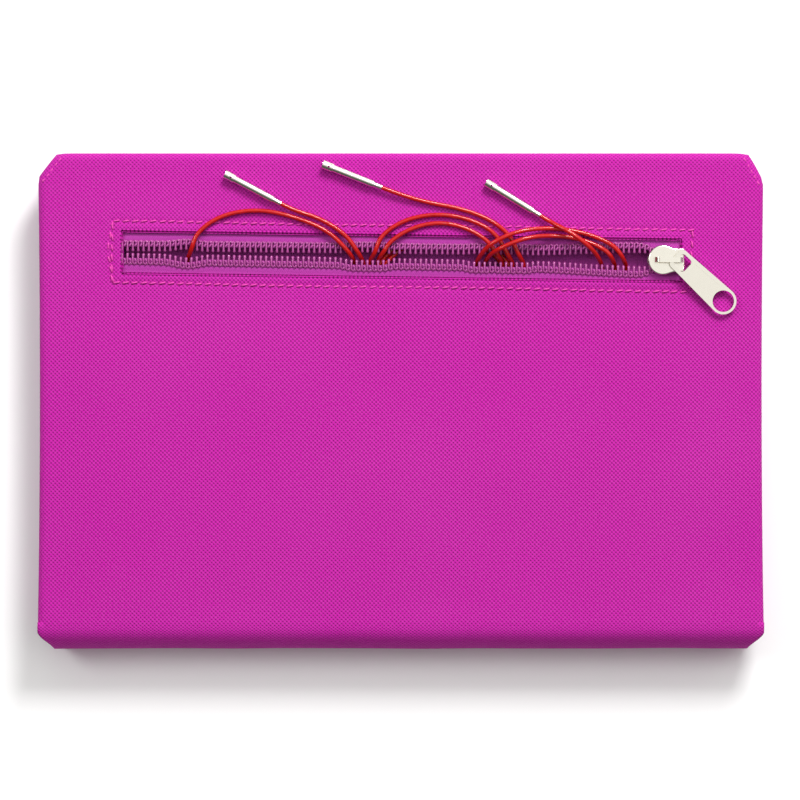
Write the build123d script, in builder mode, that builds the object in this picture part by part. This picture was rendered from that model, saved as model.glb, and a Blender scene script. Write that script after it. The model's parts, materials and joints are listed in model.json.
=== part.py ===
"""Interchangeable knitting needle set in a folding fabric case, lying closed on its front cover.

Millimetres. +X is the case's length, +Y points from the spine to the opening edge, +Z is up.
The origin is under the middle of the closed case, on the surface it lies on.
"""

from build123d import *
from math import cos, hypot, pi, radians, sin, tan
import os

# ---------------------------------------------------------------- driving dimensions
case_length = 240.0
case_depth = 164.5
spine_run = 8.0
spine_corner = 4.8
left_cut = (6.3, 8.0)
right_cut = (5.0, 9.0)
canvas = 1.2
edge_round = 2.5
board = 2.0
lining = 0.6
inner_clear = 0.3

needle_sizes = (3.5, 4.0, 4.5, 5.0, 5.5, 6.0, 7.0, 8.0)
needle_length = 120.0
needle_pitch = 27.0
needle_bottom = -62.5
point_length = 14.0
point_blunt = 0.35
point_waist = 0.4
point_swell = 0.55
socket_bevel = (0.1, 0.3)
socket_radius = 1.55
socket_depth = 18.0
needle_clear = 0.2
needle_gap = 0.5
tunnel_side_clear = 0.4
tunnel_length = 98.5
tunnel_end_clear = 0.9
pocket_sheet = 0.6
pocket_margin = 3.0
fold_clear = 0.4

back_board = 1.0
pocket_ply = 0.4
pocket_half_length = 99.0
pocket_low = -66.0
pocket_high = 66.0

zip_x = 0.3
zip_y = 48.1
zip_tilt = -0.85
window_half_length = 92.5
window_half_width = 7.3
tape_half_length = 96.5
tape_outer = 12.0
tape_ply = 0.6
tape_setback = 0.8
coil_height = 1.6
coil_width = 3.4
gap_half = 2.2
gap_left_half = 0.3
gap_taper = 14.0
coil_start = -92.0
coil_end = 92.0
coil_merge = 3.0
joined_coil = 2.3
joined_shoulder = 0.2
post_gap = 0.06
post_run = 1.8
coil_lead = 0.7

slider_left = 81.2
slider_right = 93.2
slider_half_width = 4.9
slider_tail_half = 3.9
slider_wall = 1.1
slider_lift = 0.15
slider_waist = (3.0, 0.25)
slider_round = 0.45
flange_start = 88.0
flange_end = 92.0
flange_inner = 3.0
post_radius = 0.8
post_inset = 1.4
bail_start = 83.3
bail_end = 92.5
bail_strap = 0.8
bail_width = 1.7
bail_room = 3.3
bail_round = 1.6
puller_angle = -42.15
puller_droop = 3.6
puller_thick = 1.0
puller_pivot_inset = 3.1
puller_hole_at = 21.3
puller_hole_radius = 3.55
puller_end_radius = 4.35
puller_offset = 1.35
puller_slot = (4.6, 4.9)
puller_bar = 1.1
puller_rail = 1.1
puller_recess = 0.15
puller_recess_margin = 1.0
puller_recess_half = (2.5, 2.9)
puller_root_round = 1.6
puller_slot_round = 1.2

cord_diameter = 1.5
cord_clear = 0.15
coil_clear = 0.1
layer_gap = 0.3
crossing_clear = 0.4
connector_length = 20.9
connector_head = 3.6
connector_tail = 3.0
connector_head_radius = 1.45
connector_barrel_radius = 1.2
connector_tail_radius = 0.85
connector_bore_radius = 0.75
connector_bore_depth = 4.0
connector_pin_radius = 0.35
connector_pin_at = 2.2
connector_lift = 0.1

snap_x = 109.5
snap_y = 70.0
snap_radius = 5.5
snap_patch_radius = 6.5
snap_patch = 1.5
snap_socket = 3.0
snap_stud_radius = 2.0
snap_stud_depth = 1.3
snap_clear = 0.25
snap_bevel = 0.4

coupler_length = 30.0
coupler_radius = 2.0
coupler_bore_radius = 1.55
coupler_bore_depth = 12.0
coupler_bevel = 0.3
coupler_y = -69.5
loop_width = 10.0
loop_ply = 0.6
loop_clear = 0.35

# ---------------------------------------------------------------- heights that follow
front_lining_low = canvas + board
front_top = front_lining_low + lining
largest_needle = max(needle_sizes)
tunnel_top = front_top + largest_needle + 2 * needle_clear + pocket_sheet
back_bottom = tunnel_top + fold_clear
back_board_low = back_bottom + lining
pocket_floor_low = back_board_low + back_board
pocket_floor = pocket_floor_low + pocket_ply
cord_radius = cord_diameter / 2
coil_half_thickness = cord_radius + coil_clear
layer_step = 2 * coil_half_thickness + layer_gap
lower_lift = connector_head_radius + connector_lift
pocket_room = lower_lift + layer_step + cord_radius + inner_clear + tape_ply
pocket_ceiling = pocket_floor + pocket_room
pocket_top = pocket_ceiling + pocket_ply
case_top = pocket_top + canvas
tape_low = pocket_ceiling - tape_ply
coil_low = pocket_ceiling
coil_top = coil_low + coil_height
panel_edge = -case_depth / 2 + spine_run
case_edge = case_depth / 2
middle_height = case_top / 2
cord_height = max(case_top, coil_top) + cord_radius + cord_clear


def finish(piece, name):
    """Label a finished piece and write it to its own file."""
    piece.part.label = name
    export_step(piece.part, f"parts/{name}.step")


def zip_plane(height, s=0.0):
    """A level plane along the zip, its x axis on the zip's centre line, s past the middle."""
    turn = radians(zip_tilt)
    return Plane(
        origin=(zip_x + s * cos(turn), zip_y + s * sin(turn), height),
        x_dir=(cos(turn), sin(turn), 0),
        z_dir=(0, 0, 1),
    )


def gap_y(x):
    """The height along Y of the zip's centre line at x."""
    return zip_y + (x - zip_x) * tan(radians(zip_tilt))


def panel_outline(inset=0.0):
    """One cover's outline: square at the spine, its two corners cut off at the opening edge."""
    half = case_length / 2 - inset
    top = case_edge - inset
    low = panel_edge + inset
    slant = inset * (2 - 2**0.5)
    left_x, left_y = left_cut[0] - slant, left_cut[1] - slant
    right_x, right_y = right_cut[0] - slant, right_cut[1] - slant
    with BuildLine() as outline:
        Polyline(
            (-half, low),
            (half, low),
            (half, top - right_y),
            (half - right_x, top),
            (-half + left_x, top),
            (-half, top - left_y),
            close=True,
        )
    return outline.edges()


def slab(low, high, inset=0.0, mode=Mode.ADD):
    """Add or cut a flat layer of a cover, from one height to another."""
    with BuildSketch(Plane.XY.offset(low)) as layer:
        make_face(panel_outline(inset))
    extrude(layer.sketch, amount=high - low, mode=mode)


os.makedirs("parts", exist_ok=True)

# ---------------------------------------------------------------- front cover
with BuildPart() as front_panel:
    slab(0, front_top)
    fillet(front_panel.faces().sort_by(Axis.Z)[0].edges(), edge_round)
    slab(canvas, front_top, canvas, Mode.SUBTRACT)
finish(front_panel, "front_panel")

with BuildPart() as front_board:
    slab(canvas, front_lining_low, canvas + inner_clear)
    fillet(front_board.faces().sort_by(Axis.Z)[0].edges(), edge_round - canvas)
finish(front_board, "front_board")

with BuildPart() as front_lining:
    slab(front_lining_low, front_top, canvas + inner_clear)
finish(front_lining, "front_lining")

# ---------------------------------------------------------------- needle tips and their pockets
needle_count = len(needle_sizes)
needle_places = [(i - (needle_count - 1) / 2) * needle_pitch for i in range(needle_count)]
tunnel_low = needle_bottom - tunnel_end_clear


def tunnel_room(size):
    """Inside width and height of the tunnel that holds a pair of one size."""
    return 2 * size + needle_gap + 2 * tunnel_side_clear, size + 2 * needle_clear


with BuildPart() as tip_pockets:
    sheet_low = tunnel_low - pocket_sheet
    sheet_high = tunnel_low + tunnel_length
    sheet_half = needle_places[-1] + tunnel_room(largest_needle)[0] / 2 + pocket_margin
    with BuildSketch(Plane.XY.offset(front_top)):
        with Locations((0, (sheet_low + sheet_high) / 2)):
            Rectangle(2 * sheet_half, sheet_high - sheet_low)
    extrude(amount=pocket_sheet)
    for place, size in zip(needle_places, needle_sizes):
        width, height = tunnel_room(size)
        with BuildSketch(Plane.XY.offset(front_top)):
            with Locations((place, (sheet_low + sheet_high) / 2)):
                Rectangle(width + 2 * pocket_sheet, sheet_high - sheet_low)
        extrude(amount=height + pocket_sheet)
    for place, size in zip(needle_places, needle_sizes):
        width, height = tunnel_room(size)
        with BuildSketch(Plane.XY.offset(front_top)):
            with Locations((place, (tunnel_low + sheet_high) / 2)):
                Rectangle(width, sheet_high - tunnel_low)
        extrude(amount=height, mode=Mode.SUBTRACT)
finish(tip_pockets, "tip_pockets")


def needle_profile(size):
    """Half section of one tip: socket end at 0, point at its full length."""
    radius = size / 2
    with BuildLine() as outline:
        Polyline(
            (socket_radius, 0),
            (radius - socket_bevel[0], 0),
            (radius, socket_bevel[1]),
            (radius, needle_length - point_length),
        )
        Spline(
            (radius, needle_length - point_length),
            (radius * point_swell, needle_length - point_length * point_waist),
            (point_blunt, needle_length - point_blunt),
            tangents=((0, 1), (-point_blunt, 1)),
        )
        Polyline(
            (point_blunt, needle_length - point_blunt),
            (0, needle_length),
            (0, socket_depth),
            (socket_radius, socket_depth),
            (socket_radius, 0),
        )
    return outline.edges()


for place, size in zip(needle_places, needle_sizes):
    with BuildPart() as tip_pair:
        for side in (-1, 1):
            axis_x = place + side * (size + needle_gap) / 2
            axis_z = front_top + needle_clear + size / 2
            stand = Plane(origin=(axis_x, needle_bottom, axis_z), x_dir=(1, 0, 0), z_dir=(0, 0, 1))
            with BuildSketch(stand):
                make_face(needle_profile(size))
            revolve(axis=Axis((axis_x, needle_bottom, axis_z), (0, 1, 0)))
    finish(tip_pair, f"tip_pair_{size:.1f}mm".replace(".", "_"))

# ---------------------------------------------------------------- snap closure
snap_places = ((-snap_x, snap_y), (snap_x, snap_y))
socket_low = front_top + snap_patch
socket_top = socket_low + snap_socket
stud_plate_low = socket_top + fold_clear / 2
stud_plate_high = back_bottom - snap_patch

with BuildPart() as closure_patches_front:
    with BuildSketch(Plane.XY.offset(front_top)):
        with Locations(*snap_places):
            Circle(snap_patch_radius)
    extrude(amount=snap_patch)
finish(closure_patches_front, "closure_patches_front")

with BuildPart() as snap_sockets:
    with BuildSketch(Plane.XY.offset(socket_low)):
        with Locations(*snap_places):
            Circle(snap_radius)
    extrude(amount=snap_socket)
    chamfer(snap_sockets.faces().sort_by(Axis.Z)[-2:].edges(), snap_bevel)
    with BuildSketch(Plane.XY.offset(socket_top)):
        with Locations(*snap_places):
            Circle(snap_stud_radius + snap_clear)
    extrude(amount=-(snap_stud_depth + snap_clear), mode=Mode.SUBTRACT)
finish(snap_sockets, "snap_sockets")

with BuildPart() as snap_studs:
    with BuildSketch(Plane.XY.offset(stud_plate_low)):
        with Locations(*snap_places):
            Circle(snap_radius)
    extrude(amount=stud_plate_high - stud_plate_low)
    with BuildSketch(Plane.XY.offset(stud_plate_low)):
        with Locations(*snap_places):
            Circle(snap_stud_radius)
    extrude(amount=-snap_stud_depth)
finish(snap_studs, "snap_studs")

with BuildPart() as closure_patches_back:
    with BuildSketch(Plane.XY.offset(stud_plate_high)):
        with Locations(*snap_places):
            Circle(snap_patch_radius)
    extrude(amount=snap_patch)
finish(closure_patches_back, "closure_patches_back")

# ---------------------------------------------------------------- back cover with its zip pocket
with BuildPart() as back_panel:
    slab(back_bottom, case_top)
    fillet(back_panel.faces().sort_by(Axis.Z)[-1].edges(), edge_round)
    slab(back_bottom, pocket_top, canvas, Mode.SUBTRACT)
    with BuildSketch(zip_plane(pocket_top)):
        Rectangle(2 * window_half_length, 2 * window_half_width)
    extrude(amount=canvas, mode=Mode.SUBTRACT)
finish(back_panel, "back_panel")

with BuildPart() as back_lining:
    slab(back_bottom, back_board_low, canvas + inner_clear)
finish(back_lining, "back_lining")

with BuildPart() as back_stiffener:
    slab(back_board_low, pocket_floor_low, canvas + inner_clear)
finish(back_stiffener, "back_board")

pocket_middle = (pocket_low + pocket_high) / 2
pocket_depth = pocket_high - pocket_low

with BuildPart() as back_padding:
    slab(pocket_floor_low, pocket_top, canvas + inner_clear)
    with BuildSketch(Plane.XY.offset(pocket_floor_low)):
        with Locations((0, pocket_middle)):
            Rectangle(2 * (pocket_half_length + inner_clear), pocket_depth + 2 * inner_clear)
    extrude(amount=pocket_top - pocket_floor_low, mode=Mode.SUBTRACT)
    rim = back_padding.edges().filter_by(Plane.XY).group_by(Axis.Z)[-1]
    wide = rim.filter_by(lambda edge: abs(edge.center().X) > pocket_half_length + 2 * inner_clear)
    far = rim.filter_by(lambda edge: abs(edge.center().Y) > pocket_high + 2 * inner_clear)
    chamfer(ShapeList(set(wide + far)), edge_round - canvas)
finish(back_padding, "back_padding")

with BuildPart() as pocket_back_sheet:
    with BuildSketch(Plane.XY.offset(pocket_floor_low)):
        with Locations((0, pocket_middle)):
            Rectangle(2 * pocket_half_length, pocket_depth)
    extrude(amount=pocket_ply)
finish(pocket_back_sheet, "pocket_back_sheet")

with BuildPart() as pocket_gussets:
    with BuildSketch(Plane.XY.offset(pocket_floor)):
        for side in (-1, 1):
            with Locations((side * (pocket_half_length - pocket_ply / 2), pocket_middle)):
                Rectangle(pocket_ply, pocket_depth - 2 * pocket_ply)
            with Locations((0, pocket_middle + side * (pocket_depth - pocket_ply) / 2)):
                Rectangle(2 * (pocket_half_length - pocket_ply), pocket_ply)
    extrude(amount=pocket_room)
finish(pocket_gussets, "pocket_gussets")

with BuildPart() as pocket_front_sheet:
    with BuildSketch(Plane.XY.offset(pocket_ceiling)):
        with Locations((0, pocket_middle)):
            Rectangle(2 * pocket_half_length, pocket_depth)
    extrude(amount=pocket_ply)
    with BuildSketch(zip_plane(pocket_ceiling)):
        Rectangle(2 * window_half_length, 2 * window_half_width)
    extrude(amount=pocket_ply, mode=Mode.SUBTRACT)
finish(pocket_front_sheet, "pocket_front_sheet")

# ---------------------------------------------------------------- zip
coil_bend = slider_left - coil_lead
coil_joint = coil_bend + coil_merge


def coil_edge(side):
    """Outline of one row of zip teeth: parted along the window, joined past the slider's post."""
    points = (
        (coil_start, gap_left_half),
        (coil_start + gap_taper, gap_half),
        (coil_bend, gap_half),
        (coil_joint + post_run, post_gap),
        (coil_end, post_gap),
        (coil_end, joined_coil),
        (coil_joint, joined_coil + joined_shoulder),
        (coil_bend, gap_half + coil_width),
        (coil_start + gap_taper, gap_half + coil_width),
        (coil_start, gap_left_half + coil_width),
    )
    with BuildLine() as outline:
        Polyline(*[(s, side * t) for s, t in points], close=True)
    return outline.edges()


for side, label in ((1, "upper"), (-1, "lower")):
    with BuildPart() as tape:
        tape_inner = gap_half + tape_setback
        with BuildSketch(zip_plane(tape_low)):
            with Locations((0, side * (tape_inner + tape_outer) / 2)):
                Rectangle(2 * tape_half_length, tape_outer - tape_inner)
        extrude(amount=tape_ply)
    finish(tape, f"zip_tape_{label}")
    with BuildPart() as coil:
        with BuildSketch(zip_plane(coil_low)):
            make_face(coil_edge(side))
        extrude(amount=coil_height)
    finish(coil, f"zip_teeth_{label}")

slider_top_low = coil_top + slider_lift
slider_top = slider_top_low + slider_wall
slider_low = tape_low - slider_lift - slider_wall


def slider_plate():
    """The slider's outline: a round shoulder that narrows to a straight tail."""
    shoulder = slider_left + slider_half_width
    with BuildLine() as outline:
        ThreePointArc(
            (shoulder, slider_half_width),
            (slider_left, 0),
            (shoulder, -slider_half_width),
        )
        Spline(
            (shoulder, -slider_half_width),
            (shoulder + slider_waist[0], -slider_tail_half - slider_waist[1]),
            (slider_right, -slider_tail_half),
            tangents=((1, 0), (1, 0)),
        )
        Line((slider_right, -slider_tail_half), (slider_right, slider_tail_half))
        Spline(
            (slider_right, slider_tail_half),
            (shoulder + slider_waist[0], slider_tail_half + slider_waist[1]),
            (shoulder, slider_half_width),
            tangents=((-1, 0), (-1, 0)),
        )
    return outline.edges()


with BuildPart() as slider_body:
    with BuildSketch(zip_plane(slider_top_low)):
        make_face(slider_plate())
    extrude(amount=slider_wall)
    fillet(slider_body.faces().sort_by(Axis.Z)[-1].edges(), slider_round)
    with BuildSketch(zip_plane(slider_low)):
        make_face(slider_plate())
    extrude(amount=slider_wall)
    with BuildSketch(zip_plane(slider_low + slider_wall)):
        with Locations((slider_left + post_inset, 0)):
            Circle(post_radius)
    extrude(amount=slider_top_low - slider_low - slider_wall)
    with BuildSketch(zip_plane(coil_low + slider_lift)):
        for side in (-1, 1):
            with Locations(
                ((flange_start + flange_end) / 2, side * (flange_inner + slider_tail_half) / 2)
            ):
                Rectangle(flange_end - flange_start, slider_tail_half - flange_inner)
    extrude(amount=slider_top_low - coil_low - slider_lift)
finish(slider_body, "slider_body")

with BuildPart() as slider_bail:
    bail_length = bail_end - bail_start
    bail_height = bail_room + bail_strap
    side_view = Plane(
        origin=zip_plane(slider_top, (bail_start + bail_end) / 2).origin,
        x_dir=zip_plane(0).x_dir,
        z_dir=-zip_plane(0).y_dir,
    )
    with BuildSketch(side_view):
        with Locations((0, bail_height / 2)):
            Rectangle(bail_length, bail_height)
        with Locations((0, bail_room / 2)):
            Rectangle(bail_length - 2 * bail_strap, bail_room, mode=Mode.SUBTRACT)
    extrude(amount=bail_width / 2, both=True)
    corners = slider_bail.edges().filter_by(Axis((0, 0, 0), zip_plane(0).y_dir))
    fillet(corners.group_by(Axis.Z)[-1], bail_round)
    fillet(corners.group_by(Axis.Z)[-2], bail_round - bail_strap)
finish(slider_bail, "slider_bail")

pivot_s = bail_end - puller_pivot_inset
pivot_height = slider_top + bail_room / 2
pivot = zip_plane(pivot_height, pivot_s).origin
puller_turn = radians(zip_tilt + puller_angle)
drop = radians(puller_droop)
puller_along = Vector(cos(puller_turn) * cos(drop), sin(puller_turn) * cos(drop), -sin(drop))
puller_up = Vector(cos(puller_turn) * sin(drop), sin(puller_turn) * sin(drop), cos(drop))
puller_plane = Plane(origin=pivot, x_dir=puller_along, z_dir=puller_up)
slot_middle = puller_bar / 2 + puller_slot[0] / 2

with BuildPart() as puller:
    with BuildSketch(puller_plane.offset(-puller_thick / 2)):
        with Locations((puller_hole_at, puller_offset)):
            Circle(puller_end_radius)
        with Locations((slot_middle - puller_bar / 2 + puller_rail / 2, puller_offset)):
            RectangleRounded(
                puller_slot[0] + puller_bar + puller_rail,
                puller_slot[1] + 2 * puller_rail,
                puller_root_round,
            )
        make_hull()
        with Locations((puller_hole_at, puller_offset)):
            Circle(puller_hole_radius, mode=Mode.SUBTRACT)
        with Locations((slot_middle, puller_offset)):
            RectangleRounded(*puller_slot, puller_slot_round, mode=Mode.SUBTRACT)
    extrude(amount=puller_thick)
    recess_low = puller_bar / 2 + puller_slot[0] + puller_recess_margin
    recess_high = puller_hole_at - puller_hole_radius - puller_recess_margin
    with BuildSketch(puller_plane.offset(puller_thick / 2)):
        with BuildLine():
            Polyline(
                (recess_low, puller_offset - puller_recess_half[0]),
                (recess_high, puller_offset - puller_recess_half[1]),
                (recess_high, puller_offset + puller_recess_half[1]),
                (recess_low, puller_offset + puller_recess_half[0]),
                close=True,
            )
        make_face()
    extrude(amount=-puller_recess, mode=Mode.SUBTRACT)
finish(puller, "puller")

# ---------------------------------------------------------------- cords, their ends and coils
lower_layer = pocket_floor + lower_lift
upper_layer = lower_layer + layer_step
spur_bite = 1.0
corner_share = 0.45
coil_cut = -7.7
coil_touch = 0.02
gap_slope = 60.0
gap_shift = 1.35
crossing_lift = 2 * cord_diameter + crossing_clear


def dip(x, layer, leaving):
    """Three points that take a cord at x down through the zip's gap to a layer of the pocket."""
    y = gap_y(x)
    run = (cord_height - layer) / tan(radians(gap_slope))
    middle = (cord_height - (coil_low + tape_low) / 2 - gap_shift) / tan(radians(gap_slope))
    points = [
        (x, y + middle, cord_height),
        (x, y + middle - run, layer),
        (x, y + coil_cut + coil_touch, layer),
    ]
    return points if leaving else points[::-1]


def on_cover(points):
    """Route points on the cover, each with its place and how far it is lifted over a crossing."""
    return [(x, y, cord_height + lift) for x, y, lift in points]


def corner_radii(points):
    """Each corner's radius: a share of its shorter run over the tangent of half its turn."""
    radii = []
    for before, corner, after in zip(points, points[1:], points[2:]):
        arriving = Vector(corner) - Vector(before)
        leaving = Vector(after) - Vector(corner)
        turn = radians(arriving.get_angle(leaving))
        radii.append(corner_share * min(arriving.length, leaving.length) / tan(turn / 2))
    return radii


def cord_tube(points, name):
    """One round cord along straight runs joined by tangent arcs; prints its radii and volume."""
    radii = corner_radii(points)
    with BuildLine() as path:
        FilletPolyline(*points, radius=radii)
    route = path.wire()
    with BuildSketch(Plane(origin=points[0], z_dir=Vector(points[1]) - Vector(points[0]))) as disc:
        Circle(cord_radius)
    sweep(sections=disc.sketch, path=route)
    print(name, "length", round(route.length, 1), "radii", [round(r, 1) for r in radii])
    return route.length


end_height = case_top + connector_head_radius + connector_lift

# Each cord: its connector's free end and direction, the lead's way to the gap, the loops that
# stand out of the gap, its layer in the pocket, and its coil's middle and radii.
over = crossing_lift
cords = {
    "cord_1": {
        "free_end": (-57.9, 75.1),
        "towards": (-39.5, 65.4),
        "stub": 5.0,
        "lead": ((-27.0, 60.8, 0), (-18.2, 55.4, 0)),
        "lead_x": -12.4,
        "loops": (
            (
                -70.6,
                (
                    (-67.3, 56.0, 0),
                    (-59.0, 61.8, 0),
                    (-47.1, 63.6, 0),
                    (-36.0, 61.4, 0),
                    (-24.2, 56.8, 0),
                ),
                -15.2,
            ),
        ),
        "layer": lower_layer,
        "coil": ((-42.0, 29.6), 28.5, 35.0),
        "inner_end": (-52.0, 24.0),
    },
    "cord_2": {
        "free_end": (-25.7, 78.3),
        "towards": (-6.3, 70.7),
        "stub": 6.0,
        "lead": ((8.6, 65.8, 0), (20.0, 63.8, 0), (29.5, 60.2, 0), (36.0, 55.2, 0)),
        "lead_x": 40.4,
        "loops": (
            (
                -10.0,
                (
                    (-6.8, 54.8, 0),
                    (1.2, 60.2, 0),
                    (12.0, 62.2, 0),
                    (22.8, 60.4, 0),
                    (31.4, 55.8, 0),
                ),
                36.8,
            ),
            (
                -7.4,
                (
                    (-3.4, 53.2, 0),
                    (3.8, 57.6, 0),
                    (12.6, 59.4, 0),
                    (21.4, 57.6, 0),
                    (28.6, 53.4, 0),
                ),
                33.4,
            ),
        ),
        "layer": upper_layer,
        "coil": ((14.6, 31.0), 23.5, 32.0),
        "inner_end": (-6.0, 27.0),
    },
    "cord_3": {
        "free_end": (28.1, 72.4),
        "towards": (45.5, 61.7),
        "stub": 4.5,
        "lead": ((54.4, 56.6, over), (61.0, 52.2, over)),
        "lead_x": 66.6,
        "loops": (
            (
                24.8,
                (
                    (29.8, 52.4, over),
                    (38.6, 56.4, over),
                    (50.2, 57.6, 0),
                    (61.6, 55.6, 0),
                    (70.2, 51.8, 0),
                ),
                74.6,
            ),
            (
                27.6,
                (
                    (33.4, 51.0, over),
                    (41.4, 54.2, over),
                    (50.4, 55.0, 0),
                    (59.4, 53.8, 0),
                    (66.9, 50.6, 0),
                ),
                71.0,
            ),
        ),
        "layer": lower_layer,
        "coil": ((50.6, 22.0), 26.5, 34.6),
        "inner_end": (50.0, 16.0),
    },
}


def connector(free_end, direction, height, name):
    """A cord's metal end: cupped head, barrel and stepped tail, from its free end along direction."""
    base = Plane(origin=(*free_end, height), x_dir=(0, 0, 1), z_dir=(*direction, 0))
    barrel_end = connector_length - connector_tail
    with BuildPart() as piece:
        with BuildSketch(base):
            Circle(connector_head_radius)
        extrude(amount=connector_head)
        with BuildSketch(base):
            Circle(connector_barrel_radius)
        extrude(amount=barrel_end)
        with BuildSketch(base.offset(barrel_end)):
            Circle(connector_tail_radius)
        extrude(amount=connector_tail)
        with BuildSketch(base):
            Circle(connector_bore_radius)
        extrude(amount=connector_bore_depth, mode=Mode.SUBTRACT)
        across = base.offset(connector_pin_at)
        with BuildSketch(Plane(origin=across.origin, x_dir=(*direction, 0), z_dir=(0, 0, 1))):
            Circle(connector_pin_radius)
        extrude(amount=2 * connector_head_radius, both=True, mode=Mode.SUBTRACT)
    finish(piece, name)


tube_report = []
for name, cord in cords.items():
    free, goal = cord["free_end"], cord["towards"]
    span = hypot(goal[0] - free[0], goal[1] - free[1])
    along = ((goal[0] - free[0]) / span, (goal[1] - free[1]) / span)
    connector(free, along, end_height, f"{name}_outer_end")

    reach = (connector_length, connector_length + cord["stub"])
    straight = [(free[0] + along[0] * r, free[1] + along[1] * r, end_height) for r in reach]
    way_down = dip(cord["lead_x"], cord["layer"], True)
    lead_points = [*straight, *on_cover(cord["lead"]), *way_down]
    with BuildPart() as lead:
        lead_length = cord_tube(lead_points, f"{name}_lead")
    tube_report.append((name, "lead", lead.part.volume, pi * cord_radius**2 * lead_length))
    finish(lead, f"{name}_lead")

    with BuildPart() as loops:
        loop_length = 0.0
        for start_x, way, end_x in cord["loops"]:
            route = [
                *dip(start_x, cord["layer"], False),
                *on_cover(way),
                *dip(end_x, cord["layer"], True),
            ]
            loop_length += cord_tube(route, f"{name}_loop")
    tube_report.append((name, "loops", loops.part.volume, pi * cord_radius**2 * loop_length))
    finish(loops, f"{name}_loops")

    middle, inner_radius, outer_radius = cord["coil"]
    inner_free = cord["inner_end"]
    inner_height = cord["layer"]
    inner_tail = inner_free[0] + connector_length
    with BuildPart() as coil:
        with BuildSketch(Plane.XY.offset(cord["layer"] - coil_half_thickness)):
            with Locations(middle):
                Circle(outer_radius)
                Circle(inner_radius, mode=Mode.SUBTRACT)
        extrude(amount=2 * coil_half_thickness)
        with BuildSketch(zip_plane(cord["layer"] - coil_half_thickness)):
            with Locations((0, coil_cut + case_depth / 2)):
                Rectangle(2 * case_length, case_depth)
        extrude(amount=2 * coil_half_thickness, mode=Mode.SUBTRACT)
        spur_end = middle[0] + (inner_radius**2 - (inner_free[1] - middle[1]) ** 2) ** 0.5
        with BuildSketch(Plane(origin=(inner_tail, inner_free[1], inner_height), z_dir=(1, 0, 0))):
            Circle(cord_radius)
        extrude(amount=spur_end + spur_bite - inner_tail)
    finish(coil, f"{name}_coil")
    connector(inner_free, (1, 0), inner_height, f"{name}_inner_end")

for name, piece, volume, expected in tube_report:
    print(f"{name} {piece}: volume {volume:.2f}, section times length {expected:.2f}")

# ---------------------------------------------------------------- spine
with BuildPart() as spine_fold:
    with BuildSketch(Plane.YZ.offset(-case_length / 2)):
        with Locations((panel_edge, middle_height)):
            Ellipse(spine_run, middle_height)
            Ellipse(spine_run - canvas, middle_height - canvas, mode=Mode.SUBTRACT)
        with Locations((panel_edge + spine_run, middle_height)):
            Rectangle(2 * spine_run, 2 * case_top, mode=Mode.SUBTRACT)
    extrude(amount=case_length)
    with BuildSketch(Plane.XY.offset(-1)):
        with Locations((0, panel_edge - spine_run / 2)):
            Rectangle(case_length, spine_run)
        chamfer(vertices().group_by(Axis.Y)[0], spine_corner)
    extrude(amount=case_top + 2, mode=Mode.INTERSECT)
finish(spine_fold, "spine_fold")

# ---------------------------------------------------------------- cord coupler in its loop
loop_room = coupler_radius + loop_clear
coupler_height = back_bottom - loop_ply - loop_room
with BuildPart() as coupler_loop:
    loop_low = coupler_height - loop_room - loop_ply
    with BuildSketch(Plane.XY.offset(loop_low)):
        with Locations((0, coupler_y)):
            Rectangle(loop_width, 2 * (loop_room + loop_ply))
    extrude(amount=back_bottom - loop_low)
    with BuildSketch(Plane.YZ.offset(-loop_width / 2)):
        with Locations((coupler_y, coupler_height)):
            Circle(loop_room)
    extrude(amount=loop_width, mode=Mode.SUBTRACT)
finish(coupler_loop, "coupler_loop")

with BuildPart() as cord_coupler:
    with BuildSketch(Plane.YZ.offset(-coupler_length / 2)):
        with Locations((coupler_y, coupler_height)):
            Circle(coupler_radius)
    extrude(amount=coupler_length)
    chamfer(cord_coupler.faces().filter_by(Axis.X).edges(), coupler_bevel)
    for side in (-1, 1):
        with BuildSketch(Plane.YZ.offset(side * coupler_length / 2)):
            with Locations((coupler_y, coupler_height)):
                Circle(coupler_bore_radius)
        extrude(amount=-side * coupler_bore_depth, mode=Mode.SUBTRACT)
finish(cord_coupler, "cord_coupler")
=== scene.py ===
import json
import math

import bpy
import numpy as np
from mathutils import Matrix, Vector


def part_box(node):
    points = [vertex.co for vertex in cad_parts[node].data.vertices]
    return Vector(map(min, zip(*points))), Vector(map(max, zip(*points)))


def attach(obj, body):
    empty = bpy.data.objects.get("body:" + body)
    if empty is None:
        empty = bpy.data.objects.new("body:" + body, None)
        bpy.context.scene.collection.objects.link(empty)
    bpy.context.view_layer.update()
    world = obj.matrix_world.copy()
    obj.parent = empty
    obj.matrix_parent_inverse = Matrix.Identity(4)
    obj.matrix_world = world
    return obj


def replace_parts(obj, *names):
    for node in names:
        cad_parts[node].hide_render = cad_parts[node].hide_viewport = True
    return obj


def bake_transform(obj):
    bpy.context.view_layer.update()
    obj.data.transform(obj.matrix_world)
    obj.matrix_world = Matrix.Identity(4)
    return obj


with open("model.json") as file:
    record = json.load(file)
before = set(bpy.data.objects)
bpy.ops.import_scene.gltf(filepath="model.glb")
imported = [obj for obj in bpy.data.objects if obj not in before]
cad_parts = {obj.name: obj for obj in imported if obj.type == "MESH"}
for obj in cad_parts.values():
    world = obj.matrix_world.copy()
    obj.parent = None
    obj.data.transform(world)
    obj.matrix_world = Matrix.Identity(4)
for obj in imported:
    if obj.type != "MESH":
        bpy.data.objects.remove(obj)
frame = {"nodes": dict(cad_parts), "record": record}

bl_info = {
    "name": "Interchangeable needle set",
    "version": (1, 0, 0),
    "blender": (4, 5, 0),
    "location": "View3D > Sidebar > Needle set",
    "description": "Builds the canvas case, its zip, cords, needle pockets and stage",
    "category": "Object",
}

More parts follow.
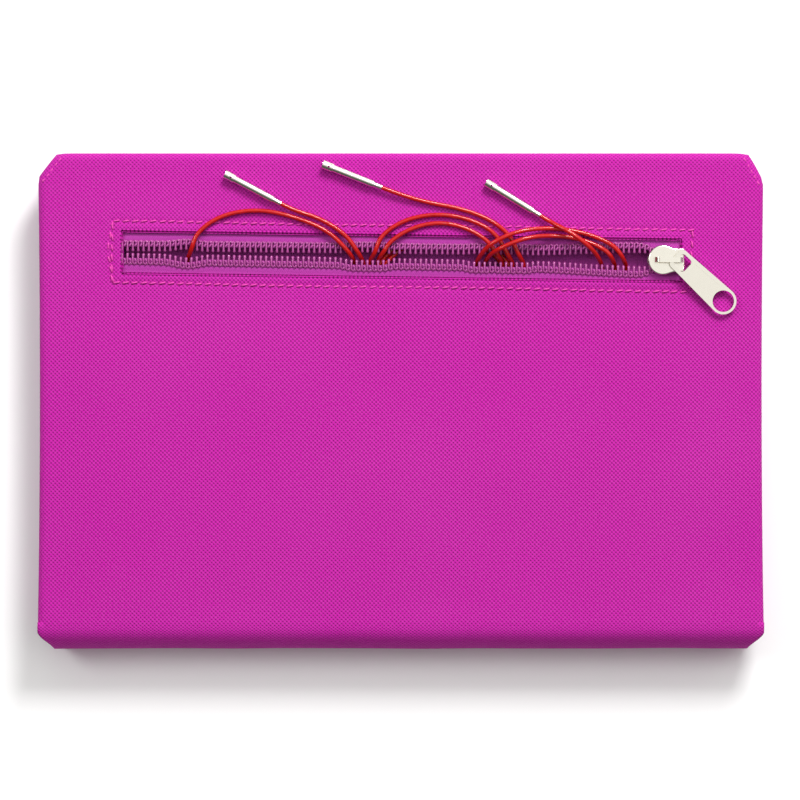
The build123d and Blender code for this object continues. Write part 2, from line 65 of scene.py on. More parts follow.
MM = 0.001
TURN = 2 * math.pi
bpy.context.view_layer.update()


def node_box(name):
    """A CAD node's lowest and highest corners, in millimetres."""
    low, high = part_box(name)
    return np.array(low) / MM, np.array(high) / MM


def joint(name):
    """A joint's entry in the frame."""
    return next(j for j in frame["record"]["behaviour"]["joints"] if j["name"] == name)


BACK_LOW, BACK_HIGH = node_box("back_panel")
FRONT_HIGH = node_box("front_panel")[1]
CASE_TOP = BACK_HIGH[2]
CASE_HALF = BACK_HIGH[0]
CASE_EDGE = BACK_HIGH[1]
PANEL_EDGE = BACK_LOW[1]
SPINE_LOW = node_box("spine_fold")[0][1]
TAPE_TOP = node_box("zip_tape_upper")[1][2]
SLIDE_AXIS = joint("slider_travel")["axis"]
ZIP_TILT = math.atan2(-SLIDE_AXIS[1], -SLIDE_AXIS[0])
ZIP_MIDDLE = np.array([0.3, 48.1])
WINDOW_HALF = (92.5, 7.3)
ENDS = ("outer_end", "inner_end")


# ------------------------------------------------------------------ settings
class CaseSettings(bpy.types.PropertyGroup):
    canvas_color: bpy.props.FloatVectorProperty(
        name="Canvas",
        description="Colour of the case's canvas",
        subtype="COLOR",
        default=(0.53, 0.009, 0.355),
    )
    weave_pitch: bpy.props.FloatProperty(
        name="Weave pitch", description="Repeat of the canvas weave, in mm", default=1.34, min=0.3, max=5.0
    )
    lining_color: bpy.props.FloatVectorProperty(
        name="Lining", description="Colour of the lining", subtype="COLOR", default=(0.50, 0.05, 0.40)
    )
    stitch_length: bpy.props.FloatProperty(
        name="Stitch", description="Length of one stitch of the seams, in mm", default=3.0, min=1.0, max=8.0
    )


class ZipSettings(bpy.types.PropertyGroup):
    tooth_pitch: bpy.props.FloatProperty(
        name="Tooth pitch",
        description="From one zip tooth to the next, in mm",
        default=1.76,
        min=1.0,
        max=5.0,
    )
    tape_color: bpy.props.FloatVectorProperty(
        name="Tape", description="Colour of the zip's tape", subtype="COLOR", default=(0.40, 0.035, 0.32)
    )
    teeth_color: bpy.props.FloatVectorProperty(
        name="Teeth", description="Colour of the zip's teeth", subtype="COLOR", default=(0.36, 0.055, 0.25)
    )


class CordSettings(bpy.types.PropertyGroup):
    cord_color: bpy.props.FloatVectorProperty(
        name="Cord", description="Colour of the cords", subtype="COLOR", default=(0.60, 0.008, 0.008)
    )
    diameter: bpy.props.FloatProperty(
        name="Diameter", description="The cords' diameter, in mm", default=1.5, min=0.5, max=4.0
    )


# ------------------------------------------------------------------ shader maths
class Signal:
    """A number in a material: arithmetic on it adds Math nodes."""

    def __init__(self, recipe, socket):
        self.recipe = recipe
        self.socket = socket

    def math(self, operation, *others):
        return self.recipe.node("ShaderNodeMath", {"operation": operation}, {
            i: value for i, value in enumerate((self, *others))
        })

    def __add__(self, other):
        return self.math("ADD", other)

    def __sub__(self, other):
        return self.math("SUBTRACT", other)

    def __rsub__(self, other):
        return self.recipe.node("ShaderNodeMath", {"operation": "SUBTRACT"}, {0: other, 1: self})

    def __mul__(self, other):
        return self.math("MULTIPLY", other)

    def __truediv__(self, other):
        return self.math("DIVIDE", other)

    __radd__ = __add__
    __rmul__ = __mul__

    def cos(self):
        return self.math("COSINE")

    def power(self, exponent):
        return self.math("POWER", exponent)

    def clamp(self):
        return self.recipe.node("ShaderNodeClamp", {}, {0: self})


class Recipe:
    """A material under construction around one Principled shader."""

    def __init__(self, name, **constants):
        self.material = bpy.data.materials.new(name)
        self.material.use_nodes = True
        self.tree = self.material.node_tree
        self.shader = self.tree.nodes["Principled BSDF"]
        for socket, value in constants.items():
            self.shader.inputs[socket.replace("_", " ")].default_value = value

    def node(self, kind, settings, inputs, output=0):
        """Add a node, set its settings, then its inputs, and return one of its outputs."""
        node = self.tree.nodes.new(kind)
        for key, value in settings.items():
            setattr(node, key, value)
        for key, value in inputs.items():
            self.feed(node.inputs[key], value)
        return Signal(self, node.outputs[output])

    def feed(self, socket, value):
        """Link a signal to a socket, or set the socket's own value."""
        if isinstance(value, Signal):
            self.tree.links.new(value.socket, socket)
        else:
            socket.default_value = value

    def place(self, source="UV"):
        """The surface's coordinates split into numbers, and the whole vector."""
        vector = self.node("ShaderNodeTexCoord", {}, {}, source)
        parts = self.tree.nodes.new("ShaderNodeSeparateXYZ")
        self.tree.links.new(vector.socket, parts.inputs[0])
        return [Signal(self, out) for out in parts.outputs] + [vector]

    def noise(self, vector, scale, detail=3.0):
        inputs = {"Vector": vector, "Scale": scale, "Detail": detail}
        return self.node("ShaderNodeTexNoise", {}, inputs, "Fac")

    def blend(self, factor, first, second):
        """Mix two colours by a factor."""
        return self.node(
            "ShaderNodeMix",
            {"data_type": "RGBA"},
            {0: factor, 6: first, 7: second},
            2,
        )

    def color(self, value):
        self.feed(self.shader.inputs["Base Color"], value)

    def roughness(self, value):
        self.feed(self.shader.inputs["Roughness"], value)

    def bump(self, height, distance, strength=1.0):
        inputs = {"Height": height, "Distance": distance, "Strength": strength}
        normal = self.node("ShaderNodeBump", {}, inputs, "Normal")
        self.feed(self.shader.inputs["Normal"], normal)


def rgba(color, gain=1.0):
    """A colour with alpha 1, its brightness multiplied by gain."""
    return tuple(min(1.0, c * gain) for c in color[:3]) + (1.0,)


def canvas_material(settings):
    """Coarse canvas: staggered pores between raised threads with painted shade in them, slow colour drift
    and fuzz.
    """
    recipe = Recipe("canvas", Roughness=0.85, Specular_IOR_Level=0.18)
    u, v, _, vector = recipe.place()
    wave = TURN / (settings.weave_pitch * MM)
    warp = recipe.noise(vector, 900.0, 2.0) * 0.00016
    across = ((u + warp) * wave).cos()
    along = ((v + warp) * wave).cos()
    pores = (across * along * 0.5 + 0.5).power(2.3)
    drift = recipe.noise(vector, 14.0, 4.0)
    grain = recipe.noise(vector, 1500.0, 3.0)
    light = rgba(tuple(c * 1.04 + 0.045 for c in settings.canvas_color))
    tone = recipe.blend((grain * 1.6 + drift * 0.5 - 0.85).clamp(), rgba(settings.canvas_color), light)
    # Painted shade: in the pores, where the bump is lowest, the colour falls to 0.42 of the canvas.
    recipe.color(recipe.blend(pores.clamp(), tone, rgba(settings.canvas_color, 0.42)))
    threads = 1.0 - pores
    recipe.roughness((threads * 0.12 + 0.70).clamp())
    recipe.bump(threads + grain * 0.35, 0.00024, 0.8)
    return recipe.material


def cloth_material(name, color, pitch, hollow_shade, solid=False):
    """Plain woven cloth: two crossed sets of fine threads with an uneven dye and painted shade in the
    hollows between them.

    On a sheet the threads follow its own flat pattern. On a solid CAD piece they are read from
    the object's coordinates, so that its sides carry them too.
    """
    recipe = Recipe(name, Roughness=0.8, Specular_IOR_Level=0.2)
    if solid:
        x, y, z, vector = recipe.place("Object")
        u, v = x + z, y + z
        dye_scale, relief, strength = 60.0, 0.0001, 0.6
    else:
        u, v, _, vector = recipe.place()
        dye_scale, relief, strength = 40.0, 0.00012, 0.7
    wave = TURN / (pitch * MM)
    first = ((u * wave).cos() * 0.5 + 0.5).power(1.5)
    second = ((v * wave).cos() * 0.5 + 0.5).power(1.5)
    threads = (first + second) * 0.5
    dye = recipe.noise(vector, dye_scale, 4.0)
    tone = recipe.blend((dye * 1.4 - 0.4).clamp(), rgba(color, 0.8), rgba(color, 1.25))
    # Painted shade: in the weave's hollows, where the bump is lowest, the colour falls towards 0.4 of the
    # cloth.
    recipe.color(recipe.blend((threads * hollow_shade).clamp(), tone, rgba(color, 0.4)))
    recipe.roughness((dye * 0.2 + 0.66).clamp())
    recipe.bump(1.0 - threads, relief, strength)
    return recipe.material


def twill_material(settings):
    """Zip tape: fine slanted ribs that run along the tape's own length, with painted shade in the grooves
    between them.
    """
    recipe = Recipe("zip_tape", Roughness=0.75, Specular_IOR_Level=0.2)
    u, v, _, vector = recipe.place()
    rib = TURN / (0.62 * MM)
    slanted = (((u + v * 0.6) * rib).cos() * 0.5 + 0.5).power(1.3)
    crossed = (((u - v * 1.4) * rib).cos() * 0.5 + 0.5).power(1.3)
    grain = recipe.noise(vector, 1800.0, 2.0)
    pattern = (slanted + crossed) * 0.5
    color = settings.tape_color
    tone = recipe.blend(grain, rgba(color, 0.82), rgba(color, 1.35))
    # Painted shade: in the grooves, where the bump is lowest, the colour falls towards half the tape's
    # colour.
    recipe.color(recipe.blend((pattern * 0.5).clamp(), tone, rgba(color, 0.5)))
    recipe.roughness((grain * 0.2 + 0.55).clamp())
    recipe.bump(1.0 - pattern, 0.0001, 0.6)
    return recipe.material


def plastic_material(name, color, roughness=0.32):
    """Drawn nylon with a soft gloss and fine drawing lines."""
    recipe = Recipe(name, Roughness=roughness, Coat_Weight=0.25)
    _, _, _, vector = recipe.place("Object")
    flow = recipe.noise(vector, 900.0, 3.0)
    recipe.color(recipe.blend(flow, rgba(color, 0.75), rgba(color, 1.35)))
    recipe.roughness((flow * 0.2 + roughness - 0.1).clamp())
    recipe.bump(flow, 0.00003, 0.5)
    return recipe.material


def thread_material(name, color):
    """Twisted sewing thread: slanted plies and a soft sheen."""
    recipe = Recipe(name, Roughness=0.65, Specular_IOR_Level=0.25)
    x, y, z, vector = recipe.place("Object")
    plies = (((x + y + z) * (TURN / (0.35 * MM))).cos() * 0.5 + 0.5).power(1.2)
    lint = recipe.noise(vector, 3000.0, 2.0)
    recipe.color(recipe.blend((plies * 0.5 + lint * 0.3).clamp(), rgba(color, 1.15), rgba(color, 0.55)))
    recipe.roughness((lint * 0.25 + 0.45).clamp())
    recipe.bump(plies, 0.00005, 0.5)
    return recipe.material


def nickel_material(name, color, roughness):
    """Plated metal: faint scuffs, slow clouding and a little warm tarnish."""
    recipe = Recipe(name, Metallic=1.0, Roughness=roughness)
    _, _, _, vector = recipe.place("Object")
    cloud = recipe.noise(vector, 160.0, 4.0)
    scuffs = recipe.noise(vector, 1500.0, 5.0)
    recipe.color(recipe.blend(cloud, rgba(color, 0.93), rgba(color, 1.04)))
    recipe.roughness(((cloud * 0.10 + scuffs * 0.10) + (roughness - 0.08)).clamp())
    recipe.bump(scuffs, 0.00001, 0.35)
    return recipe.material


def cord_material(settings):
    """Clear red nylon cord: light passes into it, with drawing lines along its length."""
    recipe = Recipe("cord", Roughness=0.14, IOR=1.45)
    recipe.shader.inputs["Transmission Weight"].default_value = 0.25
    _, _, _, vector = recipe.place("Object")
    flow = recipe.noise(vector, 420.0, 3.0)
    recipe.color(recipe.blend(flow, rgba(settings.cord_color, 0.75), rgba(settings.cord_color, 1.3)))
    recipe.roughness((flow * 0.14 + 0.08).clamp())
    recipe.bump(flow, 0.00002, 0.3)
    return recipe.material


def stiff_material(name, color, scale):
    """Board or foam: a mottled, matt core material."""
    recipe = Recipe(name, Roughness=0.9)
    _, _, _, vector = recipe.place("Object")
    fleck = recipe.noise(vector, scale, 5.0)
    recipe.color(recipe.blend(fleck, rgba(color, 0.75), rgba(color, 1.15)))
    recipe.roughness((fleck * 0.15 + 0.8).clamp())
    recipe.bump(fleck, 0.0001, 0.5)
    return recipe.material


MATERIALS = {}


def material(name):
    """One of the object's finishes, made the first time it is asked for."""
    scene = bpy.context.scene
    settings = scene.needle_case
    makers = {
        "canvas": lambda: canvas_material(settings),
        "solid_lining": lambda: cloth_material("solid_lining", settings.lining_color, 0.7, 0.4, True),
        "pocket_cloth": lambda: cloth_material("pocket_cloth", (0.26, 0.018, 0.19), 0.8, 0.5),
        "zip_tape": lambda: twill_material(scene.needle_zip),
        "zip_teeth": lambda: plastic_material("zip_teeth", scene.needle_zip.teeth_color),
        "zip_thread": lambda: thread_material("zip_thread", (0.46, 0.08, 0.34)),
        "seam_thread": lambda: thread_material("seam_thread", (0.74, 0.06, 0.42)),
        "nickel": lambda: nickel_material("nickel", (0.86, 0.83, 0.74), 0.16),
        "polished_nickel": lambda: nickel_material("polished_nickel", (0.80, 0.78, 0.75), 0.14),
        "cord": lambda: cord_material(scene.needle_cords),
        "board": lambda: stiff_material("board", (0.42, 0.36, 0.28), 300.0),
        "padding": lambda: stiff_material("padding", (0.7, 0.68, 0.64), 900.0),
        "elastic": lambda: cloth_material("elastic", (0.05, 0.012, 0.05), 0.9, 0.7, True),
        "marking": lambda: thread_material("marking", (0.72, 0.55, 0.68)),
    }
    if name not in MATERIALS:
        MATERIALS[name] = makers[name]()
    return MATERIALS[name]


# ------------------------------------------------------------------ mesh tools
def put_in(name, data):
    """Make an object of some data and link it to the scene."""
    thing = bpy.data.objects.new(name, data)
    bpy.context.scene.collection.objects.link(thing)
    return thing


def new_piece(name, points, faces, finish, body, uv=None, smooth=True):
    """Put an array of points (mm) and faces into a mesh object that rides on a body."""
    mesh = bpy.data.meshes.new(name)
    mesh.from_pydata((np.asarray(points, float) * MM).tolist(), [], np.asarray(faces).tolist())
    mesh.update()
    if uv is not None:
        layer = mesh.uv_layers.new(name="UVMap")
        corner = np.empty(len(mesh.loops), int)
        mesh.loops.foreach_get("vertex_index", corner)
        layer.data.foreach_set("uv", (np.asarray(uv, float)[corner] * MM).ravel())
    mesh.polygons.foreach_set("use_smooth", np.full(len(mesh.polygons), smooth))
    mesh.materials.append(material(finish))
    piece = put_in(name, mesh)
    if body:
        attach(piece, body)
    return piece


def grid_faces(rows, columns, wrap_rows=False, wrap_columns=False):
    """Quads between neighbours of a rows by columns grid of points."""
    r = np.arange(rows if wrap_rows else rows - 1)
    c = np.arange(columns if wrap_columns else columns - 1)
    i, j = np.meshgrid(r, c, indexing="ij")
    i2, j2 = (i + 1) % rows, (j + 1) % columns
    quads = np.stack([i * columns + j, i * columns + j2, i2 * columns + j2, i2 * columns + j], -1)
    return quads.reshape(-1, 4)


def tubes(paths, radii, sides=8):
    """Closed round tubes along many paths at once.

    paths is (count, steps, 3) and radii is (steps,): each section is a circle across the path's
    direction, its radius given along it; the ends are closed by shrinking the last sections.
    """
    paths = np.asarray(paths, float)
    count, steps, _ = paths.shape
    ahead = np.gradient(paths, axis=1)
    ahead /= np.linalg.norm(ahead, axis=2, keepdims=True) + 1e-12
    up = np.zeros_like(ahead)
    up[..., 2] = 1.0
    steep = np.abs(ahead[..., 2]) > 0.9
    up[steep] = (1.0, 0.0, 0.0)
    side = np.cross(ahead, up)
    side /= np.linalg.norm(side, axis=2, keepdims=True) + 1e-12
    lift = np.cross(side, ahead)
    angle = np.arange(sides) * TURN / sides
    ring = np.cos(angle)[:, None] * side[:, :, None, :] + np.sin(angle)[:, None] * lift[:, :, None, :]
    points = paths[:, :, None, :] + ring * np.asarray(radii)[None, :, None, None]
    quads = grid_faces(steps, sides, wrap_columns=True)
    faces = (quads[None] + (np.arange(count) * steps * sides)[:, None, None]).reshape(-1, 4)
    return points.reshape(-1, 3), faces[:, ::-1]


def capsule_radii(steps, radius):
    """Radii of a rounded rod: half circles at its two ends."""
    t = np.linspace(-1, 1, steps)
    return radius * np.sqrt(np.clip(1 - np.abs(t) ** 6, 0.0004, 1))


def smooth_step(value, low, high):
    """0 below low, 1 above high, an S curve between."""
    t = np.clip((value - low) / (high - low), 0, 1)
    return t * t * (3 - 2 * t)


def zip_to_case(s, t):
    """Turn places along and across the zip into X and Y on the case."""
    c, k = math.cos(ZIP_TILT), math.sin(ZIP_TILT)
    return ZIP_MIDDLE[0] + s * c - t * k, ZIP_MIDDLE[1] + s * k + t * c


# ------------------------------------------------------------------ canvas covers
ROLL = 2.6
LEFT_CUT = (6.3, 8.0)
RIGHT_CUT = (5.0, 9.0)
COVER_WALL = 0.7
SPINE_WALL = 0.8
# The lower cover's rim stops this far below its panel's top, clear of the tips drawn over it.
RIM_DROP = 0.4
TUCK = 0.8


def cover_relief(x, y, seed):
    """How far the padded canvas lies below its highest level, in mm, always 0 or less.

    A slow crown over the padding and long shallow buckles set by fixed waves; it all fades out
    towards the edges and the spine.
    """
    edge = np.minimum(CASE_HALF - np.abs(x), CASE_EDGE - y)
    waves = np.zeros_like(x)
    rng = np.random.default_rng(seed)
    for _ in range(10):
        length = rng.uniform(36, 120)
        heading = rng.uniform(0, math.pi)
        phase = rng.uniform(0, TURN)
        waves += rng.uniform(0.02, 0.05) * np.sin(
            TURN / length * (x * math.cos(heading) + y * math.sin(heading)) + phase
        )
    calm = smooth_step(edge, 1, 14) * smooth_step(y - PANEL_EDGE, 0, 10)
    crown = 0.4 * smooth_step(edge, 0, 26) - 0.4
    crown = crown * smooth_step(y - PANEL_EDGE, 0, 16)
    return crown + (waves - 0.12) * calm


def window_relief(x, y):
    """The canvas round the window: a rolled lip, a furrow under the stitches, a soft bank beyond."""
    s, t = case_to_zip(x, y)
    out = np.maximum(np.abs(s) - WINDOW_HALF[0], np.abs(t) - WINDOW_HALF[1])
    near = np.clip(out, 0, None)
    return (
        0.18 * np.exp(-(((near - 0.9) / 0.8) ** 2))
        - 0.22 * np.exp(-(((near - 3.0) / 0.6) ** 2))
        - 0.10 * np.exp(-(((near - 0.0) / 0.4) ** 2))
    )


def cover_side(y, cut, sign):
    """The flat's boundary at height y on one side: in from the edge by the roll, along the cut."""
    reach = cut[0] / cut[1]
    slope_inset = ROLL * math.hypot(*cut) / cut[1]
    straight = CASE_HALF - ROLL
    on_cut = CASE_HALF - slope_inset - (y - (CASE_EDGE - cut[1])) * reach
    rise = np.clip((y - PANEL_EDGE) / (CASE_EDGE - PANEL_EDGE), 0, 1)
    draw = 0.7 * np.sin(rise * math.pi) ** 0.8
    return sign * (np.minimum(straight, on_cut) - draw)


def steps_between(*stops):
    """Places along a line: (place, spacing up to the next place) pairs, the last with no spacing."""
    places = []
    for (start, spacing), (end, _) in zip(stops, stops[1:]):
        places.append(np.linspace(start, end, max(2, int(round((end - start) / spacing)) + 1))[:-1])
    return np.concatenate([*places, [stops[-1][0]]])


def make_cover(name, node, body, facing, windowed, seed):
    """One half's canvas as a shell.

    The flat is a grid whose outer columns follow the sides and cut corners; from its border the
    cloth rolls over a quarter round and runs down the rim. A window, if any, is left out of the
    grid and its border folds down inside. facing is 1 for the upper cover and -1 for the lower.
    """
    level = CASE_TOP if facing > 0 else 0.0
    depth = CASE_TOP - BACK_LOW[2] if facing > 0 else FRONT_HIGH[2] - RIM_DROP
    fine, coarse = (0.5, 2.0) if windowed else (3.0, 3.0)
    left, right = ZIP_MIDDLE[0] - WINDOW_HALF[0], ZIP_MIDDLE[0] + WINDOW_HALF[0]
    low, high = ZIP_MIDDLE[1] - WINDOW_HALF[1], ZIP_MIDDLE[1] + WINDOW_HALF[1]
    flat = CASE_HALF - ROLL
    xs = steps_between(
        (-flat, coarse), (left - 6, fine), (left, coarse), (right, fine), (right + 6, coarse), (flat, 0)
    )
    ys = steps_between(
        (PANEL_EDGE - TUCK, TUCK),
        (PANEL_EDGE, coarse),
        (low - 6, fine),
        (low, coarse),
        (high, fine),
        (high + 6, coarse),
        (CASE_EDGE - ROLL, 0),
    )
    X, Y = np.meshgrid(xs, ys, indexing="xy")
    outer = smooth_step(np.abs(X), 99, flat)
    side = np.where(X > 0, cover_side(Y, RIGHT_CUT, 1), cover_side(Y, LEFT_CUT, -1))
    x = X * (1 - outer) + (side + np.sign(X) * (np.abs(X) - flat)) * outer
    tilt = smooth_step(Y, low - 45, low) * (1 - smooth_step(Y, high, high + 20))
    y = Y + (x - ZIP_MIDDLE[0]) * math.tan(ZIP_TILT) * tilt
    relief = cover_relief(x, y, seed)
    if windowed:
        relief = relief + window_relief(x, y)
        z = level + relief - 0.15 * (y < PANEL_EDGE - 0.1)
    else:
        edge = np.minimum(CASE_HALF - np.abs(x), CASE_EDGE - y)
        z = level + 0.3 * (1 - smooth_step(edge, 2, 12)) * smooth_step(y - PANEL_EDGE, 0, 10)
        z = z + 0.15 * (y < PANEL_EDGE - 0.1)
    rows, columns = X.shape
    points = [np.stack([x, y, z], -1).reshape(-1, 3)]
    uv = [points[0][:, :2]]
    faces = grid_faces(rows, columns)
    index = np.arange(rows * columns).reshape(rows, columns)
    if windowed:
        i0, i1 = np.searchsorted(xs, (left - 0.01, right - 0.01))
        j0, j1 = np.searchsorted(ys, (low - 0.01, high - 0.01))
        fj, fi = np.divmod(np.arange(len(faces)), columns - 1)
        inside = (fj >= j0) & (fj < j1) & (fi >= i0) & (fi < i1)
        faces = faces[~inside]
        ring = np.concatenate([index[j0, i0:i1], index[j0:j1, i1], index[j1, i1:i0:-1], index[j1:j0:-1, i0]])
        base = points[0][ring]
        tucked = []
        for inward, down in ((0.08, 0.18), (0.02, 0.55), (-0.15, 1.25)):
            s, t = case_to_zip(base[:, 0], base[:, 1])
            at_end = np.abs(s) > WINDOW_HALF[0] - 0.2
            fold_x, fold_y = zip_to_case(s - np.sign(s) * inward * at_end, t - np.sign(t) * inward)
            tucked.append(np.stack([fold_x, fold_y, base[:, 2] - down], -1))
        first = rows * columns
        loops = [ring] + [first + k * len(ring) + np.arange(len(ring)) for k in range(3)]
        for a, b in zip(loops, loops[1:]):
            faces = np.concatenate([faces, np.stack([a, np.roll(a, -1), np.roll(b, -1), b], 1)[:, ::-1]])
        points += tucked
        uv += [t[:, :2] for t in tucked]
    border = np.concatenate([index[:, -1], index[-1, -2::-1], index[-2::-1, 0]])
    line = points[0][border]
    along = np.gradient(line[:, :2], axis=0)
    for _ in range(2):
        along[1:-1] = (along[:-2] + 2 * along[1:-1] + along[2:]) / 4
    along /= np.linalg.norm(along, axis=1, keepdims=True)
    out = np.stack([along[:, 1], -along[:, 0]], 1)
    angle = np.linspace(0, math.pi / 2, 8)[1:]
    outward = np.concatenate([ROLL * np.sin(angle), ROLL + 0.15 * np.sin(np.linspace(0, math.pi, 6)[1:])])
    below = np.concatenate([ROLL * (1 - np.cos(angle)), np.linspace(ROLL, depth, 6)[1:]])
    if facing < 0:
        below = np.minimum(below, depth)
        below = below * (depth / below[-1])
    cloth = np.concatenate([ROLL * angle, ROLL * angle[-1] + below[len(angle):] - ROLL])
    first = sum(len(p) for p in points)
    loops = [border] + [first + k * len(border) + np.arange(len(border)) for k in range(len(below))]
    for o, d, c in zip(outward, below, cloth):
        spread = line[:, :2] + out * o
        points.append(np.concatenate([spread, (line[:, 2] - facing * d)[:, None]], 1))
        uv.append(line[:, :2] + out * c)
    for a, b in zip(loops, loops[1:]):
        faces = np.concatenate([faces, np.stack([a[:-1], b[:-1], b[1:], a[1:]], 1)])
    points = np.concatenate(points)
    uv = np.concatenate(uv)
    faces = faces if facing > 0 else faces[:, ::-1]
    cover = new_piece(name, points, faces, "canvas", body, uv)
    thicken(cover, COVER_WALL)
    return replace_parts(cover, node)


def thicken(piece, thickness):
    """Give a sheet a wall on its inner side and close its edges."""
    wall = piece.modifiers.new("wall", "SOLIDIFY")
    wall.thickness = thickness * MM
    wall.offset = -1.0


def case_to_zip(x, y):
    """Turn X and Y on the case into places along and across the zip."""
    c, k = math.cos(ZIP_TILT), math.sin(ZIP_TILT)
    dx, dy = x - ZIP_MIDDLE[0], y - ZIP_MIDDLE[1]
    return dx * c + dy * k, dy * c - dx * k


def make_spine(columns=220, rows=30):
    """The canvas round the spine.

    A half ellipse from the back cover's lower edge round to the front cover's, carried along
    the case, drawn in at its two cut ends and lightly rippled along its length.
    """
    angle = np.concatenate([[0.0], np.linspace(0.02, math.pi - 0.02, rows - 2), [math.pi]])
    across = np.linspace(-1, 1, columns)
    a, u = np.meshgrid(angle, across, indexing="ij")
    depth = PANEL_EDGE - SPINE_LOW
    half = CASE_TOP / 2
    bulge = np.sin(a)
    cut = 4.8 * smooth_step(bulge, 0.2, 1.0)
    x = u * (CASE_HALF - 0.15 - cut)
    ripple = 0.12 * np.sin(x / 9.0 + 1.3) + 0.1 * np.sin(x / 23.0 + 0.4) + 0.06 * np.sin(x / 5.1)
    y = PANEL_EDGE - (depth - 0.3 + ripple * 0.5) * bulge
    z = half + half * np.cos(a) + 0.1 * ripple * bulge * np.cos(a)
    tucks = [(1.6, 0.15), (0.5, 0.02)]
    upper = [np.stack([x[0], y[0] + run, z[0] - down], -1) for run, down in tucks]
    lower = [np.stack([x[-1], y[-1] + run, z[-1] + down], -1) for run, down in tucks[::-1]]
    points = np.concatenate([upper, np.stack([x, y, z], -1), lower]).reshape(-1, 3)
    bend = 10.5
    cloth = np.concatenate([[-1.6, -0.5], angle * bend, [math.pi * bend + 0.5, math.pi * bend + 1.6]])
    along = np.concatenate([x[:1], x[:1], x, x[:1], x[:1]])
    uv = np.stack(np.broadcast_arrays(along, PANEL_EDGE - cloth[:, None]), -1).reshape(-1, 2)
    rows += 4
    spine = new_piece("spine_canvas", points, grid_faces(rows, columns)[:, ::-1], "canvas", None, uv)
    thicken(spine, SPINE_WALL)
    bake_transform(spine)
    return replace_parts(spine, "spine_fold")


# ------------------------------------------------------------------ seams
SEAM_THREAD = 0.32


def stitch_row(points, spacing, level, lean=0.0, seed=1):
    """Paths of the stitches along a polyline on the cover: short arcs that dive at both ends."""
    run = np.concatenate([[0], np.cumsum(np.linalg.norm(np.diff(points, axis=0), axis=1))])
    count = max(2, int(run[-1] / spacing))
    starts = (np.arange(count) + 0.06) * run[-1] / count
    rng = np.random.default_rng(seed)
    starts = starts + rng.uniform(-0.12, 0.12, count)
    steps = np.linspace(0, 1, 7)
    at = starts[:, None] + steps[None] * spacing * 0.84
    x = np.interp(at, run, points[:, 0])
    y = np.interp(at, run, points[:, 1])
    gone = np.interp(at + 0.01, run, points[:, 0]) - x, np.interp(at + 0.01, run, points[:, 1]) - y
    size = np.hypot(*gone) + 1e-9
    off = lean * (steps[None] - 0.5) + rng.uniform(-0.05, 0.05, (count, 1))
    x = x - gone[1] / size * off
    y = y + gone[0] / size * off
    z = level + 0.24 - 0.6 * (2 * steps[None] - 1) ** 4 + np.zeros_like(x)
    return np.stack([x, y, z], -1)


def make_seams(settings):
    """The seam round the window, a double tack at its left end, and seams at the cut corners."""
    spacing = settings.stitch_length
    half_s, half_t = WINDOW_HALF[0] + 3.0, WINDOW_HALF[1] + 2.9
    sides = (
        ((-half_s, half_t), (half_s + 1.5, half_t)),
        ((half_s - 1.0, -half_t), (-half_s, -half_t)),
        ((-half_s, -half_t), (-half_s, half_t)),
        ((half_s + 0.4, half_t), (half_s - 0.4, -half_t)),
        ((-half_s - 1.6, 0.5), (-half_s + 0.4, half_t + 0.8)),
        ((-half_s - 1.2, -1.0), (-half_s + 0.8, -half_t - 0.8)),
    )
    stitches = []
    for k, ends in enumerate(sides):
        t = np.linspace(0, 1, 60)
        s_line = ends[0][0] + (ends[1][0] - ends[0][0]) * t
        t_line = ends[0][1] + (ends[1][1] - ends[0][1]) * t
        t_line = t_line + (0.15 * np.sin(s_line / 17.0) if k < 2 else 0)
        line = np.stack(zip_to_case(s_line, t_line), 1)
        stitches.append(stitch_row(line, spacing, CASE_TOP - 0.22, lean=0.5, seed=11 + k))
    corner = 1.9
    cuts = (
        ((-CASE_HALF + 6.3 + corner, CASE_EDGE - 1.5), (-CASE_HALF + 1.5, CASE_EDGE - 8.0 - corner)),
        ((CASE_HALF - 5.0 - corner, CASE_EDGE - 1.6), (CASE_HALF - 1.6, CASE_EDGE - 9.0 - corner)),
    )
    for k, ends in enumerate(cuts):
        line = np.linspace(ends[0], ends[1], 30)
        stitches.append(stitch_row(line, spacing * 0.7, CASE_TOP - 0.85, seed=31 + k))
    paths = np.concatenate(stitches)
    points, faces = tubes(paths, capsule_radii(paths.shape[1], SEAM_THREAD), 6)
    seams = new_piece("pocket_seams", points, faces, "seam_thread", "back_half")
    return seams


# ------------------------------------------------------------------ zip
TOOTH_WIRE = 0.34
TOOTH_HEAD = 0.14
ZIP_THREAD = 0.31
TAPE_WALL = 0.45
CROSSINGS = (-70.6, -15.2, -12.4, -10.0, -7.4, 24.8, 27.6, 33.4, 36.8, 40.4, 66.6, 71.0, 74.6)


def zip_gap(s, side):
    """Half the gap between the teeth at s: nearly shut at the left, wide at the slider, and pushed
    open where a cord comes through."""
    rise = np.clip((s + 92) / 172, 0, 1)
    gap = 0.12 + 0.75 * rise ** 0.8 + 1.15 * smooth_step(s, 40, 80)
    room = 1.35 if side < 0 else 0.95
    for x in CROSSINGS:
        gap = np.maximum(gap, room * np.exp(-(((s + 0.3 - x) / 5.5) ** 2)))
    closing = smooth_step(s, 80.0, 86.5)
    return gap * (1 - closing) + 0.08 * closing


def row_width(s):
    """Width of one row of teeth: narrower where the slider has joined the two."""
    return 4.0 - 1.7 * smooth_step(s, 77.0, 86.0)


